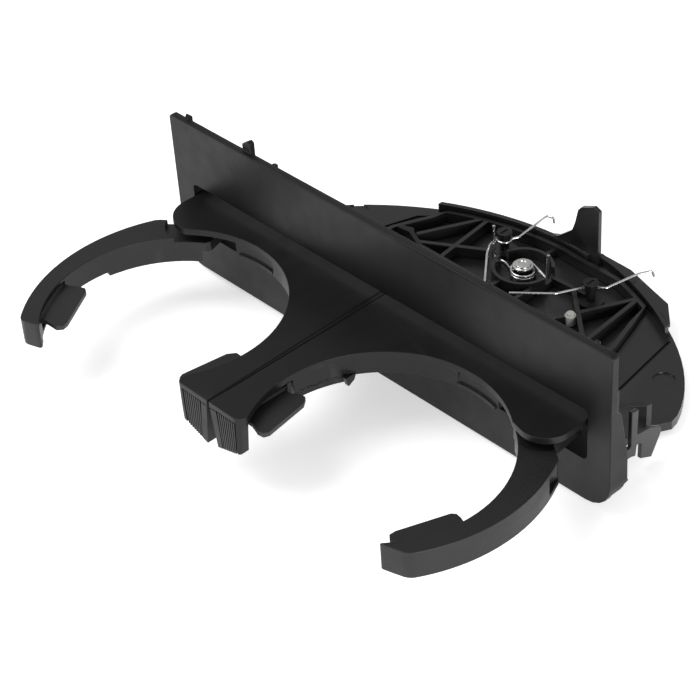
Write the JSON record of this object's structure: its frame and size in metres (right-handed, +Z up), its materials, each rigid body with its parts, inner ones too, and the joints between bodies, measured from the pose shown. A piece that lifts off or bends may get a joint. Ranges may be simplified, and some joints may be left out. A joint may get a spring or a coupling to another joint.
{
  "type": "slide-out cup holder insert",
  "caption": "Slide-out cup holder insert: slotted fascia, rear tray with a spring mechanism, and sliding plates whose folding arms and hinged flaps close round drinks cups.",
  "frame": {"origin": "on the rear face of the fascia, in the middle of its upper band, 15 mm above the top of the slides", "axes": "+X along the fascia to the right seen from the front, +Y rearward into the opening, +Z up"},
  "size_m": [0.188, 0.168, 0.0613],
  "materials": {
    "black_plastic": "fine-grained moulded black plastic",
    "ribbed_plastic": "softer, slightly lighter moulded plastic",
    "natural_nylon": "undyed nylon",
    "spring_steel": "bright drawn wire and turned pins"
  },
  "bodies": {
    "housing": {"fascia_panel": "black_plastic", "housing_tray": "black_plastic", "mechanism_frame": "black_plastic", "centre_guide": "black_plastic", "tray_screw_1": "spring_steel", "tray_screw_2": "spring_steel", "tray_screw_3": "spring_steel", "tray_screw_4": "spring_steel", "left_spring_cap": "black_plastic", "right_spring_cap": "black_plastic", "left_eject_spring": "spring_steel", "right_eject_spring": "spring_steel", "centre_spring": "spring_steel", "centre_rivet": "spring_steel", "latch_blade": "black_plastic", "latch_stop": "natural_nylon", "right_side_clip": "black_plastic", "left_side_clip": "black_plastic"},
    "right_slide": {"right_slide": "black_plastic", "right_push_pad": "ribbed_plastic", "right_pivot_pin": "spring_steel", "right_tongue_flap_pin": "spring_steel"},
    "right_arm": {"right_arm": "black_plastic", "right_arm_spring": "spring_steel", "right_arm_flap_pin": "spring_steel"},
    "right_tongue_flap": {"right_tongue_flap": "ribbed_plastic"},
    "right_arm_flap": {"right_arm_flap": "ribbed_plastic"},
    "left_slide": {"left_slide": "black_plastic", "left_push_pad": "ribbed_plastic", "left_pivot_pin": "spring_steel", "left_tongue_flap_pin": "spring_steel"},
    "left_arm": {"left_arm": "black_plastic", "left_arm_spring": "spring_steel", "left_arm_flap_pin": "spring_steel"},
    "left_tongue_flap": {"left_tongue_flap": "ribbed_plastic"},
    "left_arm_flap": {"left_arm_flap": "ribbed_plastic"}
  },
  "joints": [
    {"name": "right_slide_travel", "type": "slide", "parent": "housing", "child": "right_slide", "axis": [0, 1, 0], "range_m": [0, 0.062], "stiffness_N_per_m": 40, "springref_m": -0.05},
    {"name": "right_arm_fold", "type": "hinge", "parent": "right_slide", "child": "right_arm", "pos_m": [0.0755, -0.0006, -0.0236], "axis": [0, 0, -1], "range_deg": [0, 40]},
    {"name": "right_tongue_flap_dip", "type": "hinge", "parent": "right_slide", "child": "right_tongue_flap", "pos_m": [0.007, -0.0555, -0.02], "axis": [0, 1, 0], "range_deg": [0, 30], "stiffness_Nm_per_rad": 0.01, "springref_deg": -17.19},
    {"name": "right_arm_flap_dip", "type": "hinge", "parent": "right_arm", "child": "right_arm_flap", "pos_m": [0.08384, -0.06018, -0.0221], "axis": [-0.342, -0.9397, 0], "range_deg": [0, 30], "stiffness_Nm_per_rad": 0.01, "springref_deg": -17.19},
    {"name": "left_slide_travel", "type": "slide", "parent": "housing", "child": "left_slide", "axis": [0, 1, 0], "range_m": [0, 0.062], "stiffness_N_per_m": 40, "springref_m": -0.05},
    {"name": "left_arm_fold", "type": "hinge", "parent": "left_slide", "child": "left_arm", "pos_m": [-0.0755, -0.0006, -0.0236], "axis": [0, 0, 1], "range_deg": [0, 40]},
    {"name": "left_tongue_flap_dip", "type": "hinge", "parent": "left_slide", "child": "left_tongue_flap", "pos_m": [-0.007, -0.0555, -0.02], "axis": [0, -1, 0], "range_deg": [0, 30], "stiffness_Nm_per_rad": 0.01, "springref_deg": -17.19},
    {"name": "left_arm_flap_dip", "type": "hinge", "parent": "left_arm", "child": "left_arm_flap", "pos_m": [-0.08074, -0.06669, -0.0221], "axis": [-0.5075, 0.8616, 0], "range_deg": [0, 30], "stiffness_Nm_per_rad": 0.01, "springref_deg": -17.19}
  ],
  "couplings": [
    {"joint": "right_arm_fold", "follows": "right_slide_travel", "rad_per_m": 11.26},
    {"joint": "left_arm_fold", "follows": "left_slide_travel", "rad_per_m": 11.26}
  ]
}
